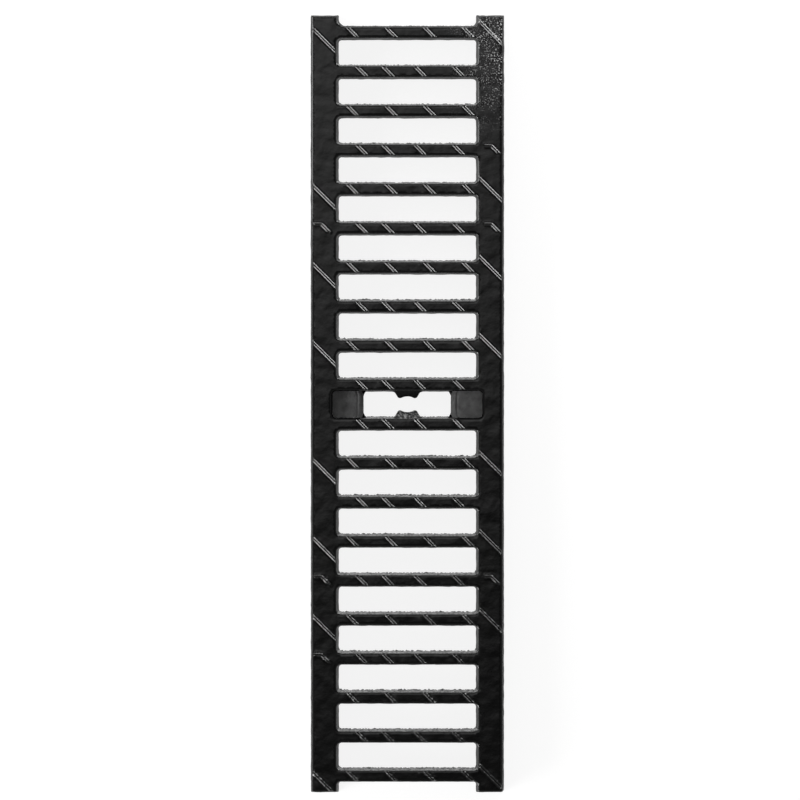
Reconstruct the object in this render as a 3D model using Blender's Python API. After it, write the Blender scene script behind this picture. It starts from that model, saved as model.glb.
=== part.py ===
"""Channel drain grate, cast in one piece.

Slots lie across the grate between two rails. The slot in the middle is the lock slot:
it has a shelf at each end and a pair of nubs that leave room for a bolt. Thin ribs run
over the tread at 45 degrees, against slipping.

The casting draws from its flat underside, so every wall leans outwards on the way down
and the slots are narrower below than at the tread.

X is the width, Y the length and Z is up. The origin is the middle of the underside.
All sizes are in metres.
"""
import math

import bmesh
import bpy
from mathutils import Vector

# Plan of the grate, measured at the underside
BARS_EACH_SIDE = 10
BAR_PITCH = 0.025
BAR_WIDTH = 0.0090
SLOT_LENGTH = 0.0880
RAIL_WIDTH = 0.0178
HORN_LENGTH = 0.0067

# Height, draft and upper edges
GRATE_HEIGHT = 0.015
OUTER_DRAFT = math.radians(4.0)
SIDE_DRAFT = math.radians(3.5)
END_DRAFT = math.radians(5.0)
EDGE_ROUND = 0.0006
EDGE_STEPS = 2

# Corners in plan
CORNER_STEPS = 4
SLOT_CORNER = 0.0020
OUTER_CORNER = 0.0006
WORN_CORNER = 0.0020
NOTCH_CORNER_FAR_LEFT = 0.0046
NOTCH_CORNER_FAR_RIGHT = 0.0030
NOTCH_CORNER_NEAR = 0.0017

# Lock slot and its shelves
LOCK_SLOT_LENGTH = 0.0940
LOCK_CORNER = 0.0018
LOCK_GAP_LENGTH = 0.0561
SHELF_DROP = 0.0050
SHELF_THICKNESS = 0.0076
SHELF_NOSE = 0.0038
NOSE_STEPS = 5
GAP_CORNER_REACH = 0.0013
GAP_CORNER_SPAN = 0.0026
GAP_CORNER_DROP = 0.0004
GAP_CORNER_STEPS = 3

# Nubs beside the bolt
BOLT_NOTCH_RADIUS = 0.0075
BOLT_NOTCH_SPAN = 0.0106
NUB_GAP = 0.0077
NUB_TIP_ROUND = 0.0013
NUB_ROOT_ROUND = 0.0014
NUB_FLANK_ANGLE = math.radians(50.0)
NUB_ROOT_DROP = 0.0030
NUB_TIP_DROP = 0.0065
NUB_THICKNESS = 0.0060
NOTCH_STEPS = 4
TIP_STEPS = 3

# Ribs on the tread. A place is a share of the slot's length, from the middle of the bar.
# Rows of bars are counted outwards from the lock slot, and the first is row 0.
RIB_BASE_WIDTH = 0.0025
RIB_CREST_WIDTH = 0.0007
RIB_HEIGHT = 0.0009
RIB_END_SLOPE = 0.0004
ODD_ROW_PLACES = (-0.398, -0.119, 0.160, 0.440)
EVEN_ROW_PLACES = (-0.330, -0.141, 0.092, 0.371)
RAIL_RIB_ROWS = (1, 3, 5, 9)
LEFT_RIB_SETBACK = 0.005
ELBOW_ROW_BOTH = 4
ELBOW_ROW_SINGLE = 6
ELBOW_RISE = 0.0028
ELBOW_TAIL = 0.0048
ELBOW_REACH = 0.0063
ELBOW_SHIFT_LEFT = -0.0021
ELBOW_SHIFT_RIGHT = 0.0004

# How far cutters run past the underside, and how deep added pieces root in the casting
CUT_PAST = 0.002
ROOT_DEPTH = 0.0012

# Worked out from the sizes above
SLOT_WIDTH = BAR_PITCH - BAR_WIDTH
GRATE_WIDTH = SLOT_LENGTH + 2 * RAIL_WIDTH
GRATE_LENGTH = (2 * BARS_EACH_SIDE - 1) * BAR_PITCH + BAR_WIDTH + 2 * HORN_LENGTH
SIDE_LEAN = GRATE_HEIGHT * math.tan(SIDE_DRAFT)
END_LEAN = GRATE_HEIGHT * math.tan(END_DRAFT)
OUTER_LEAN = GRATE_HEIGHT * math.tan(OUTER_DRAFT)
ALONG_X = Vector((1.0, 0.0))
ALONG_Y = Vector((0.0, 1.0))
DOWN_RIGHT = Vector((1.0, -1.0)).normalized()
LEFT = -1
RIGHT = 1


def remove_objects():
    """Empties the scene."""
    for item in list(bpy.data.objects):
        bpy.data.objects.remove(item, do_unlink=True)


def add_collection(name):
    """Adds a collection to the scene."""
    collection = bpy.data.collections.new(name)
    bpy.context.scene.collection.children.link(collection)
    return collection


def coated_iron():
    """Black bitumen coating over ductile cast iron."""
    material = bpy.data.materials.new("black_coated_iron")
    material.use_nodes = True
    shader = material.node_tree.nodes["Principled BSDF"]
    shader.inputs["Base Color"].default_value = (0.012, 0.012, 0.012, 1.0)
    shader.inputs["Roughness"].default_value = 0.28
    shader.inputs["Metallic"].default_value = 0.0
    return material


def add_object(name, bm, collection):
    """Turns a finished bmesh into an object with its faces pointing out."""
    bmesh.ops.recalc_face_normals(bm, faces=bm.faces[:])
    mesh = bpy.data.meshes.new(name)
    bm.to_mesh(mesh)
    bm.free()
    item = bpy.data.objects.new(name, mesh)
    collection.objects.link(item)
    return item


def hide_tool(item):
    """Marks a cutter or a merged piece, which is no part of its own."""
    item.hide_render = True
    item.display_type = "WIRE"


def add_loft(bm, rings):
    """Skins a row of rings, which have equally many points, into one closed solid."""
    rows = [[bm.verts.new(point) for point in ring] for ring in rings]
    count = len(rings[0])
    for low, high in zip(rows, rows[1:]):
        for here in range(count):
            after = (here + 1) % count
            bm.faces.new((low[here], low[after], high[after], high[here]))
    bm.faces.new(rows[0][::-1])
    bm.faces.new(rows[-1])


def arc(centre, radius, start, end, steps):
    """Points along an arc in a plane, with both of its ends."""
    points = []
    for step in range(steps + 1):
        angle = start + (end - start) * step / steps
        across = centre[0] + radius * math.cos(angle)
        up = centre[1] + radius * math.sin(angle)
        points.append((across, up))
    return points


def rounded_rectangle(x_low, y_low, x_high, y_high, radii):
    """Outline with a radius for each corner, counter-clockwise from the low corner."""
    corners = (
        (x_low, y_low, 1, 1),
        (x_high, y_low, -1, 1),
        (x_high, y_high, -1, -1),
        (x_low, y_high, 1, -1),
    )
    outline = []
    for turn, (x, y, inward_x, inward_y) in enumerate(corners):
        radius = radii[turn]
        centre = (x + inward_x * radius, y + inward_y * radius)
        start = math.pi + turn * math.pi / 2
        outline += arc(centre, radius, start, start + math.pi / 2, CORNER_STEPS)
    return outline


def wall_levels(draft_x, draft_y):
    """Levels of a drafted wall with a rounded upper edge.

    A level is its height and how far the wall has moved along X and along Y since the
    underside.
    """
    shoulder = GRATE_HEIGHT - EDGE_ROUND
    levels = [(0.0, 0.0, 0.0)]
    for step in range(EDGE_STEPS + 1):
        angle = math.pi / 2 * step / EDGE_STEPS
        height = shoulder + EDGE_ROUND * math.sin(angle)
        spread = EDGE_ROUND * (1 - math.cos(angle))
        shift_x = shoulder * math.tan(draft_x) + spread
        shift_y = shoulder * math.tan(draft_y) + spread
        levels.append((height, shift_x, shift_y))
    return levels


def carry_on(level, level_before, rise):
    """The level that lies on the line through two levels, a rise past the first."""
    share = rise / (level[0] - level_before[0])
    return tuple(here + (here - before) * share for here, before in zip(level, level_before))


def cutter_levels(draft_x, draft_y):
    """The levels of a wall, carried on past the underside and the tread."""
    levels = wall_levels(draft_x, draft_y)
    below = carry_on(levels[0], levels[1], -CUT_PAST)
    above = carry_on(levels[-1], levels[-2], EDGE_ROUND / 2)
    return [below] + levels[1:-1] + [above]


def build_blank(collection):
    """The outline of the casting, before its slots and ribs."""
    bm = bmesh.new()
    rings = []
    radii = (OUTER_CORNER, WORN_CORNER, OUTER_CORNER, OUTER_CORNER)
    for height, shift_x, shift_y in wall_levels(OUTER_DRAFT, OUTER_DRAFT):
        half_x = GRATE_WIDTH / 2 - shift_x
        half_y = GRATE_LENGTH / 2 - shift_y
        outline = rounded_rectangle(-half_x, -half_y, half_x, half_y, radii)
        rings.append([(x, y, height) for x, y in outline])
    add_loft(bm, rings)
    return add_object("drain_grate", bm, collection)


def add_slot(bm, y_low, y_high, length, radii):
    """One slot as a solid to be cut away, drafted and with a rounded upper edge."""
    rings = []
    for height, shift_x, shift_y in cutter_levels(END_DRAFT, SIDE_DRAFT):
        half_x = length / 2 + shift_x
        grown = [radius + shift_y for radius in radii]
        outline = rounded_rectangle(-half_x, y_low - shift_y, half_x, y_high + shift_y, grown)
        rings.append([(x, y, height) for x, y in outline])
    add_loft(bm, rings)


def build_slots(collection):
    """The slots and the two end notches, as one cutter of separate solids."""
    bm = bmesh.new()
    for row in range(1 - BARS_EACH_SIDE, BARS_EACH_SIDE):
        y_low = row * BAR_PITCH - SLOT_WIDTH / 2
        y_high = row * BAR_PITCH + SLOT_WIDTH / 2
        if row == 0:
            add_slot(bm, y_low, y_high, LOCK_SLOT_LENGTH, [LOCK_CORNER] * 4)
        else:
            add_slot(bm, y_low, y_high, SLOT_LENGTH, [SLOT_CORNER] * 4)
    notch_wall = GRATE_LENGTH / 2 - HORN_LENGTH
    notch_end = notch_wall + BAR_PITCH
    far_radii = [NOTCH_CORNER_FAR_LEFT, NOTCH_CORNER_FAR_RIGHT] + [SLOT_CORNER] * 2
    near_radii = [SLOT_CORNER] * 2 + [NOTCH_CORNER_NEAR] * 2
    add_slot(bm, notch_wall, notch_end, SLOT_LENGTH, far_radii)
    add_slot(bm, -notch_end, -notch_wall, SLOT_LENGTH, near_radii)
    return add_object("slot_cutter", bm, collection)


def gap_corner():
    """Stations across a shelf that round the gap's corner, from the wall inwards.

    A station is its place and how far the foot of the nose stands out there.
    """
    wall = SLOT_WIDTH / 2 + SIDE_LEAN / 2
    stations = [(SLOT_WIDTH / 2 + SIDE_LEAN + ROOT_DEPTH, GAP_CORNER_REACH)]
    for step in range(GAP_CORNER_STEPS + 1):
        angle = math.pi / 2 * step / GAP_CORNER_STEPS
        place = wall - GAP_CORNER_SPAN * (1 - math.cos(angle))
        stations.append((place, GAP_CORNER_REACH * (1 - math.sin(angle))))
    return stations


def add_shelf(bm, side):
    """A shelf at one end of the lock slot, with its nose rounded over.

    Below the nose, the corners of the gap are rounded too.
    """
    top = GRATE_HEIGHT - SHELF_DROP
    underside = top - SHELF_THICKNESS
    foot = top - SHELF_NOSE - GAP_CORNER_DROP
    gap = LOCK_GAP_LENGTH / 2
    root = LOCK_SLOT_LENGTH / 2 + END_LEAN + ROOT_DEPTH
    nose_centre = (gap + SHELF_NOSE, top - SHELF_NOSE)
    nose = arc(nose_centre, SHELF_NOSE, math.pi, math.pi / 2, NOSE_STEPS)
    corner = gap_corner()
    rings = []
    for y, out in [(-y, out) for y, out in corner] + corner[::-1]:
        profile = [(gap - out, underside), (gap - out, foot)] + nose + [(root, top), (root, underside)]
        rings.append([(side * x, y, z) for x, z in profile])
    add_loft(bm, rings)


def nub_outline():
    """Plan of half a nub: the bolt's notch, the round tip, the flank and the root."""
    wall = SLOT_WIDTH / 2
    notch_y = BOLT_NOTCH_SPAN / 2 - BOLT_NOTCH_RADIUS
    tip_y = NUB_GAP / 2 + NUB_TIP_ROUND
    tip_x = math.sqrt((BOLT_NOTCH_RADIUS + NUB_TIP_ROUND) ** 2 - (tip_y - notch_y) ** 2)
    notch_end = math.atan2(tip_y - notch_y, tip_x)
    notch = arc((0.0, notch_y), BOLT_NOTCH_RADIUS, math.pi / 2, notch_end, NOTCH_STEPS)
    flank_normal = NUB_FLANK_ANGLE - math.pi / 2
    tip = arc((tip_x, tip_y), NUB_TIP_ROUND, notch_end - math.pi, flank_normal, TIP_STEPS)
    flank_x, flank_y = tip[-1]
    root_y = wall - NUB_ROOT_ROUND
    climb = root_y - flank_y + NUB_ROOT_ROUND * math.cos(NUB_FLANK_ANGLE)
    run = climb / math.tan(NUB_FLANK_ANGLE)
    root_x = flank_x + run + NUB_ROOT_ROUND * math.sin(NUB_FLANK_ANGLE)
    root = arc((root_x, root_y), NUB_ROOT_ROUND, flank_normal + math.pi, math.pi / 2, TIP_STEPS)
    return notch + tip[1:] + root + [(root_x, wall + SIDE_LEAN + ROOT_DEPTH)]


def add_nub(bm, side):
    """A nub on one bar of the lock slot, whose top falls away towards the bolt."""
    half = nub_outline()
    outline = half + [(-x, y) for x, y in half[:0:-1]]
    wall = SLOT_WIDTH / 2
    slope = (NUB_TIP_DROP - NUB_ROOT_DROP) / (wall - NUB_GAP / 2)
    underside = GRATE_HEIGHT - NUB_TIP_DROP - NUB_THICKNESS
    root_top = GRATE_HEIGHT - NUB_ROOT_DROP
    lower = [(x, side * y, underside) for x, y in outline]
    upper = [(x, side * y, root_top - slope * (wall - y)) for x, y in outline]
    add_loft(bm, [lower, upper])


def build_lock_pieces(collection):
    """The shelves and nubs of the lock slot, as separate solids to be merged."""
    bm = bmesh.new()
    for side in (LEFT, RIGHT):
        add_shelf(bm, side)
        add_nub(bm, side)
    return add_object("lock_pieces", bm, collection)


def rib_section(crest):
    """Section of a rib, rooted in the casting, with its flanks leaning in to a crest."""
    flank_run = (RIB_BASE_WIDTH - RIB_CREST_WIDTH) / 2
    foot = RIB_BASE_WIDTH / 2 + flank_run * ROOT_DEPTH / RIB_HEIGHT
    bottom = GRATE_HEIGHT - ROOT_DEPTH
    half_crest = RIB_CREST_WIDTH / 2
    return ((-foot, bottom), (-half_crest, crest), (half_crest, crest), (foot, bottom))


def add_rib(bm, route, first_cut, last_cut):
    """One rib along a route in plan, mitred where the route bends.

    The two cuts are the directions in which its ends are cut off.
    """
    legs = [(after - here).normalized() for here, after in zip(route, route[1:])]
    sunk = GRATE_HEIGHT - ROOT_DEPTH / 2
    full = GRATE_HEIGHT + RIB_HEIGHT
    overrun = RIB_END_SLOPE * ROOT_DEPTH / 2 / RIB_HEIGHT
    stations = [(route[0] - legs[0] * overrun, first_cut, legs[0], sunk)]
    stations.append((route[0] + legs[0] * RIB_END_SLOPE, first_cut, legs[0], full))
    for place, before, after in zip(route[1:-1], legs, legs[1:]):
        stations.append((place, before - after, after, full))
    stations.append((route[-1] - legs[-1] * RIB_END_SLOPE, last_cut, legs[-1], full))
    stations.append((route[-1] + legs[-1] * overrun, last_cut, legs[-1], sunk))
    rings = []
    for place, cut, leg, crest in stations:
        leftwards = Vector((-leg.y, leg.x))
        reach = cut / cut.dot(leftwards)
        ring = []
        for across, height in rib_section(crest):
            point = place + reach * across
            ring.append((point.x, point.y, height))
        rings.append(ring)
    add_loft(bm, rings)


def add_bar_ribs(bm, bar_y, places):
    """The ribs of one bar, which end on its rounded edges."""
    half_span = BAR_WIDTH / 2 - SIDE_LEAN - EDGE_ROUND / 2
    for place in places:
        middle = Vector((place * SLOT_LENGTH, bar_y))
        reach = DOWN_RIGHT * (half_span / abs(DOWN_RIGHT.y))
        add_rib(bm, [middle - reach, middle + reach], ALONG_X, ALONG_X)


def rail_edges():
    """Inner and outer edge of a rail's tread, from the middle of the grate."""
    inner = SLOT_LENGTH / 2 + END_LEAN + EDGE_ROUND / 2
    outer = GRATE_WIDTH / 2 - OUTER_LEAN - EDGE_ROUND / 2
    return inner, outer


def add_rail_rib(bm, side, middle_y):
    """A rib right across one rail, cut short where the rail ends."""
    inner, outer = rail_edges()
    middle = Vector((side * (inner + outer) / 2, middle_y))
    reach = DOWN_RIGHT * ((outer - inner) / 2 / DOWN_RIGHT.x)
    start = middle - reach
    end = middle + reach
    end_cut = ALONG_Y
    rail_end = OUTER_LEAN + EDGE_ROUND / 2 - GRATE_LENGTH / 2
    if end.y < rail_end:
        end = end - DOWN_RIGHT * ((rail_end - end.y) / abs(DOWN_RIGHT.y))
        end_cut = ALONG_X
    add_rib(bm, [start, end], ALONG_Y, end_cut)


def add_elbow_rib(bm, side, bar_y):
    """A short rib on one rail: a tail along X and then a leg at 45 degrees."""
    inner, outer = rail_edges()
    shift = ELBOW_SHIFT_LEFT if side == LEFT else ELBOW_SHIFT_RIGHT
    bend = Vector((side * (inner + outer) / 2 + shift, bar_y + ELBOW_RISE))
    start = bend - ALONG_X * ELBOW_TAIL
    end = bend + DOWN_RIGHT * (ELBOW_REACH / DOWN_RIGHT.x)
    add_rib(bm, [start, bend, end], ALONG_Y, ALONG_Y)


def build_ribs(collection):
    """All ribs of the tread, as separate solids to be merged."""
    bm = bmesh.new()
    for half in (-1, 1):
        for row in range(BARS_EACH_SIDE):
            bar_y = half * (row + 0.5) * BAR_PITCH
            add_bar_ribs(bm, bar_y, ODD_ROW_PLACES if row % 2 else EVEN_ROW_PLACES)
            if row in RAIL_RIB_ROWS:
                add_rail_rib(bm, RIGHT, bar_y)
                add_rail_rib(bm, LEFT, bar_y - LEFT_RIB_SETBACK)
            if row == ELBOW_ROW_BOTH:
                add_elbow_rib(bm, LEFT, bar_y)
                add_elbow_rib(bm, RIGHT, bar_y)
            if row == ELBOW_ROW_SINGLE:
                add_elbow_rib(bm, half, bar_y)
    return add_object("tread_ribs", bm, collection)


def add_boolean(item, tool, operation):
    """Cuts or merges another object."""
    modifier = item.modifiers.new(tool.name, "BOOLEAN")
    modifier.operation = operation
    modifier.object = tool
    modifier.solver = "EXACT"


def main():
    """Models the grate."""
    remove_objects()
    parts = add_collection("channel_drain_grate")
    tools = add_collection("tools")
    grate = build_blank(parts)
    grate.data.materials.append(coated_iron())
    steps = (
        (build_slots(tools), "DIFFERENCE"),
        (build_lock_pieces(tools), "UNION"),
        (build_ribs(tools), "UNION"),
    )
    for tool, operation in steps:
        hide_tool(tool)
        add_boolean(grate, tool, operation)


main()
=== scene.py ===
"""Looks of a channel drain grate: one ductile iron casting in black bitumen paint.

The casting is built here as one closed mesh, finer than the solid it stands for. Its
walls are lofted from the tread down to the underside, and its tread is a height field
that carries the ribs. Lengths in this file are in millimetres, and MM turns them into
Blender's metres.
"""

import logging
import math
from dataclasses import dataclass, field, replace
from enum import Enum
from typing import Any, Iterable, Sequence

import bmesh
import bpy
import numpy as np
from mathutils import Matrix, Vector, geometry, noise


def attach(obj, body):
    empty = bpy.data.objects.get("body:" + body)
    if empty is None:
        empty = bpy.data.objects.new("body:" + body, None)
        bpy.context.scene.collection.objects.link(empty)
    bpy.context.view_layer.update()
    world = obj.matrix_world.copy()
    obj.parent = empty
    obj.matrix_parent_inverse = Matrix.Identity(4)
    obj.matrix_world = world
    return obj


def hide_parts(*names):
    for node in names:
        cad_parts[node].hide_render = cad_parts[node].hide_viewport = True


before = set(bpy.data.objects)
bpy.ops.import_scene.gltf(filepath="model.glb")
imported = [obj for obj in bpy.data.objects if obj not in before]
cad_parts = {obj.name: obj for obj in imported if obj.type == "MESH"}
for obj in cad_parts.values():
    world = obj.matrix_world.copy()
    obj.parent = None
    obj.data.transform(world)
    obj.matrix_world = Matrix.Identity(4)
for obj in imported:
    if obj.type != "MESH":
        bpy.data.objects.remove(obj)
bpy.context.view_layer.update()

LOG = logging.getLogger("drain_grate")
NODE = "drain_grate"
MM = 0.001
# Without a seed, noise.noise_vector starts from the clock and differs from run to run.
SEED = 1

Point = tuple[float, float]
Span = tuple[float, float]
Place = tuple[float, float, float]
Tree = bpy.types.NodeTree
Socket = bpy.types.NodeSocket


class Side(Enum):
    """The two rails, as seen from above with +Y up."""

    LEFT = -1
    RIGHT = 1


class Zone(Enum):
    """The kinds of surface on the casting, in the order of its material slots."""

    TREAD = 0
    WALL = 1
    GRAINY_WALL_PAINTED_GLINTS = 2
    PAINTED_SHADE_WALL = 3
    SHELF = 4
    UNDERSIDE = 5
    SANDY_NUB_PAINTED_LIGHT = 6
    OUTER_WALL_PAINTED_SHADE = 7


class Cut(Enum):
    """The direction in which the end of a rib is cut off."""

    ALONG_X = "along_x"
    ALONG_Y = "along_y"


def linear_colour(code: str) -> tuple[float, float, float, float]:
    """Turns an sRGB hex colour into the linear colour that a shader takes.

    Args:
        code: The colour as six hex digits after a hash.

    Returns:
        Linear red, green, blue and an alpha of one.
    """
    channels = [int(code[start:start + 2], 16) / 255 for start in (1, 3, 5)]
    linear = [c / 12.92 if c <= 0.04045 else ((c + 0.055) / 1.055) ** 2.4 for c in channels]
    return (linear[0], linear[1], linear[2], 1.0)


def add_node(tree: Tree, kind: str, settings: dict[Any, Any] | None = None) -> bpy.types.Node:
    """Adds a node to a tree and sets it up.

    Args:
        tree: The node tree.
        kind: Blender's name for the node's type.
        settings: Fields of the node, and values or sockets for its inputs, by name or number.

    Returns:
        The new node.
    """
    node = tree.nodes.new(kind)
    for name, value in (settings or {}).items():
        if isinstance(value, Socket):
            tree.links.new(value, node.inputs[name])
        elif isinstance(name, int) or name in node.inputs:
            node.inputs[name].default_value = value
        else:
            setattr(node, name, value)
    return node


def reckon(tree: Tree, operation: str, first: Socket, second: Socket | float) -> Socket:
    """Works out a sum, a product or the larger of two values in a shader."""
    settings = {"operation": operation, 0: first, 1: second}
    return add_node(tree, "ShaderNodeMath", settings).outputs[0]


def spread(tree: Tree, value: Socket, span: Span, onto: Span = (0.0, 1.0),
           smooth: bool = False) -> Socket:
    """Maps one span of a value onto another, and holds the ends outside it."""
    settings = {"interpolation_type": "SMOOTHSTEP" if smooth else "LINEAR", "Value": value,
                "From Min": span[0], "From Max": span[1], "To Min": onto[0], "To Max": onto[1]}
    return add_node(tree, "ShaderNodeMapRange", settings).outputs["Result"]


def line(start: Point, end: Point, pieces: int) -> list[Point]:
    """Points of a straight line, both ends included."""
    (x0, y0), (x1, y1) = start, end
    return [(x0 + (x1 - x0) * step / pieces, y0 + (y1 - y0) * step / pieces)
            for step in range(pieces + 1)]


def arc(centre: Point, radius: float, angles: Span, pieces: int) -> list[Point]:
    """Points of an arc from one angle to another, both ends included."""
    start, end = angles
    turns = [start + (end - start) * step / pieces for step in range(pieces + 1)]
    x, y = centre
    return [(x + radius * math.cos(turn), y + radius * math.sin(turn)) for turn in turns]


@dataclass(frozen=True)
class Level:
    """One height of the casting's walls, and how far each wall has leaned by there."""

    height: float
    outer: float
    side: float
    end: float


@dataclass(frozen=True)
class CastingSizes:
    """Sizes of the casting in plan at its underside, its draft and its edges."""

    bars_each_side: int = 10
    bar_pitch: float = 25.0
    bar_width: float = 9.0
    slot_length: float = 88.0
    rail_width: float = 17.8
    horn_length: float = 6.7
    lock_slot_length: float = 94.0
    height: float = 15.0
    outer_draft: float = math.radians(4.0)
    side_draft: float = math.radians(3.5)
    end_draft: float = math.radians(5.0)
    edge_round: float = 0.9
    slot_corner: float = 2.0
    lock_corner: float = 1.8
    outer_corner: float = 0.6
    worn_corner: float = 2.0
    notch_corner_far_left: float = 4.6
    notch_corner_far_right: float = 3.0
    notch_corner_near: float = 1.7

    @property
    def width(self) -> float:
        """Width over both rails."""
        return self.slot_length + 2 * self.rail_width

    @property
    def length(self) -> float:
        """Length over the horns at both ends."""
        return 2 * (self.last_wall + self.horn_length)

    @property
    def slot_width(self) -> float:
        """Width of a slot at the underside."""
        return self.bar_pitch - self.bar_width

    @property
    def last_wall(self) -> float:
        """Distance from the middle to the outer wall of an end bar."""
        return (self.bars_each_side - 0.5) * self.bar_pitch + self.bar_width / 2

    def lean(self, draft: float) -> float:
        """How far a wall leans over the whole height."""
        return self.height * math.tan(draft)

    def levels(self) -> list[Level]:
        """Levels of the walls, from the underside to the tread, edge round included."""
        shoulder = self.height - self.edge_round
        drafts = (self.outer_draft, self.side_draft, self.end_draft)
        levels = []
        for height in (0.0, 0.5, 2.0, 5.0, 8.5, 12.0):
            levels.append(Level(height, *(height * math.tan(draft) for draft in drafts)))
        for turn in (0.0, 0.3, 0.5, 0.7, 1.0):
            angle = math.pi / 2 * turn
            height = shoulder + self.edge_round * math.sin(angle)
            spread = self.edge_round * (1 - math.cos(angle))
            levels.append(Level(height, *(shoulder * math.tan(d) + spread for d in drafts)))
        return levels


@dataclass(frozen=True)
class Rib:
    """One raised rib: its route in plan and how its two ends are cut off."""

    route: tuple[Point, ...]
    first_cut: Cut
    last_cut: Cut
    worn: float = 1.0


@dataclass
class TreadRibs:
    """The thin ribs on the tread, and the height field that they make.

    The profile pairs a distance from a rib's middle with the height there. Places along a
    bar are shares of the slot's length. Wear takes the ribs off their line, hardly at the
    +Y end and fully towards the -Y end.
    """

    sizes: CastingSizes
    profile: tuple[Point, ...] = (
        (0.0, 0.80), (0.44, 0.797), (0.53, 0.765), (0.60, 0.705), (0.655, 0.657), (0.70, 0.615),
        (0.74, 0.46), (0.78, 0.29), (0.83, 0.14), (0.96, 0.06), (2.1, 0.0))
    foot_reach: float = 0.90
    ragged: float = 0.22
    ragged_grain: float = 0.9
    wear_middle: float = 0.25
    wear_growth: float = 1.8
    wear_least: float = 0.05
    end_ramp: float = 0.3
    odd_places: tuple[float, ...] = (-0.398, -0.119, 0.160, 0.440)
    even_places: tuple[float, ...] = (-0.330, -0.141, 0.092, 0.371)
    rail_rows: tuple[int, ...] = (1, 3, 5, 9)
    left_setback: float = 5.0
    elbow_row_both: int = 4
    elbow_row_single: int = 6
    elbow_rise: float = 2.8
    elbow_tail: float = 4.8
    elbow_reach: float = 5.1
    worn_elbow: float = 2.4
    elbow_shift: dict[Side, float] = field(
        default_factory=lambda: {Side.LEFT: -2.1, Side.RIGHT: 0.4})
    station: float = 0.85

    def rail_edges(self) -> tuple[float, float]:
        """Inner and outer edge of a rail's tread, from the middle of the grate."""
        s = self.sizes
        inner = s.slot_length / 2 + s.lean(s.end_draft) + s.edge_round / 2
        outer = s.width / 2 - s.lean(s.outer_draft) - s.edge_round / 2
        return inner, outer

    def rail_rib(self, side: Side, middle_y: float) -> Rib:
        """A rib right across one rail, cut short where the rail ends."""
        s = self.sizes
        inner, outer = self.rail_edges()
        half = (outer - inner) / 2
        x = side.value * (inner + outer) / 2
        start, end = (x - half, middle_y + half), (x + half, middle_y - half)
        rail_end = s.lean(s.outer_draft) + s.edge_round / 2 - s.length / 2
        if end[1] >= rail_end:
            return Rib((start, end), Cut.ALONG_Y, Cut.ALONG_Y)
        over = rail_end - end[1]
        return Rib((start, (end[0] - over, rail_end)), Cut.ALONG_Y, Cut.ALONG_X)

    def elbow_rib(self, side: Side, bar_y: float) -> Rib:
        """A short rib on one rail: a tail along X and then a leg at 45 degrees."""
        inner, outer = self.rail_edges()
        x = side.value * (inner + outer) / 2 + self.elbow_shift[side]
        y = bar_y + self.elbow_rise
        leg_end = (x + self.elbow_reach, y - self.elbow_reach)
        worn = self.worn_elbow if side is Side.LEFT and bar_y < 0 else 1.0
        return Rib(((x - self.elbow_tail, y), (x, y), leg_end), Cut.ALONG_Y, Cut.ALONG_X, worn)

    def layout(self) -> list[Rib]:
        """All ribs, row by row outwards from the lock slot."""
        s = self.sizes
        half_span = s.bar_width / 2 - s.lean(s.side_draft) - s.edge_round / 2
        ribs = []
        for half in (-1, 1):
            for row in range(s.bars_each_side):
                bar_y = half * (row + 0.5) * s.bar_pitch
                for place in self.odd_places if row % 2 else self.even_places:
                    x = place * s.slot_length
                    route = ((x - half_span, bar_y + half_span), (x + half_span, bar_y - half_span))
                    ribs.append(Rib(route, Cut.ALONG_X, Cut.ALONG_X))
                if row in self.rail_rows:
                    ribs.append(self.rail_rib(Side.RIGHT, bar_y))
                    ribs.append(self.rail_rib(Side.LEFT, bar_y - self.left_setback))
                if row == self.elbow_row_both:
                    ribs += [self.elbow_rib(side, bar_y) for side in Side]
                if row == self.elbow_row_single:
                    ribs.append(self.elbow_rib(Side(half), bar_y))
        return ribs

    def end_margin(self, points: np.ndarray, rib: Rib) -> np.ndarray:
        """How far each point lies inside the cuts at the two ends of a rib."""
        margins = []
        route = rib.route
        for end, inwards, cut in ((route[0], route[1], rib.first_cut),
                                  (route[-1], route[-2], rib.last_cut)):
            axis = 1 if cut is Cut.ALONG_X else 0
            sign = math.copysign(1.0, inwards[axis] - end[axis])
            margins.append((points[:, axis] - end[axis]) * sign)
        return np.minimum(margins[0], margins[1])

    def rise(self, points: np.ndarray) -> np.ndarray:
        """Height of the ribs above the tread.

        Args:
            points: Points in plan, one a row.

        Returns:
            The height at each point.
        """
        total = np.zeros(len(points))
        across, heights = np.array(self.profile).T
        for rib in self.layout():
            route = np.array(rib.route)
            near = within(points, route.min(0) - across[-1], route.max(0) + across[-1])
            if not len(near):
                continue
            local = points[near]
            legs = [distance(local, start, end) for start, end in zip(route, route[1:])]
            away = np.min(legs, axis=0) + rib.worn * self.wear(local)
            ramp = np.clip(self.end_margin(local, rib) / self.end_ramp, 0.0, 1.0)
            rise = np.interp(away, across, heights) * ramp * (2 - ramp)
            total[near] = np.maximum(total[near], rise)
        return total

    def wear(self, points: np.ndarray) -> np.ndarray:
        """How far the flanks of a rib are off their line."""
        share = self.wear_middle - points[:, 1] / self.sizes.length * self.wear_growth
        share = np.clip(share, self.wear_least, 1.0)
        spots = [Vector((x, y, 0.0)) / self.ragged_grain for x, y in points.tolist()]
        return self.ragged * share * np.array([noise.noise(spot) for spot in spots])

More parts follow.
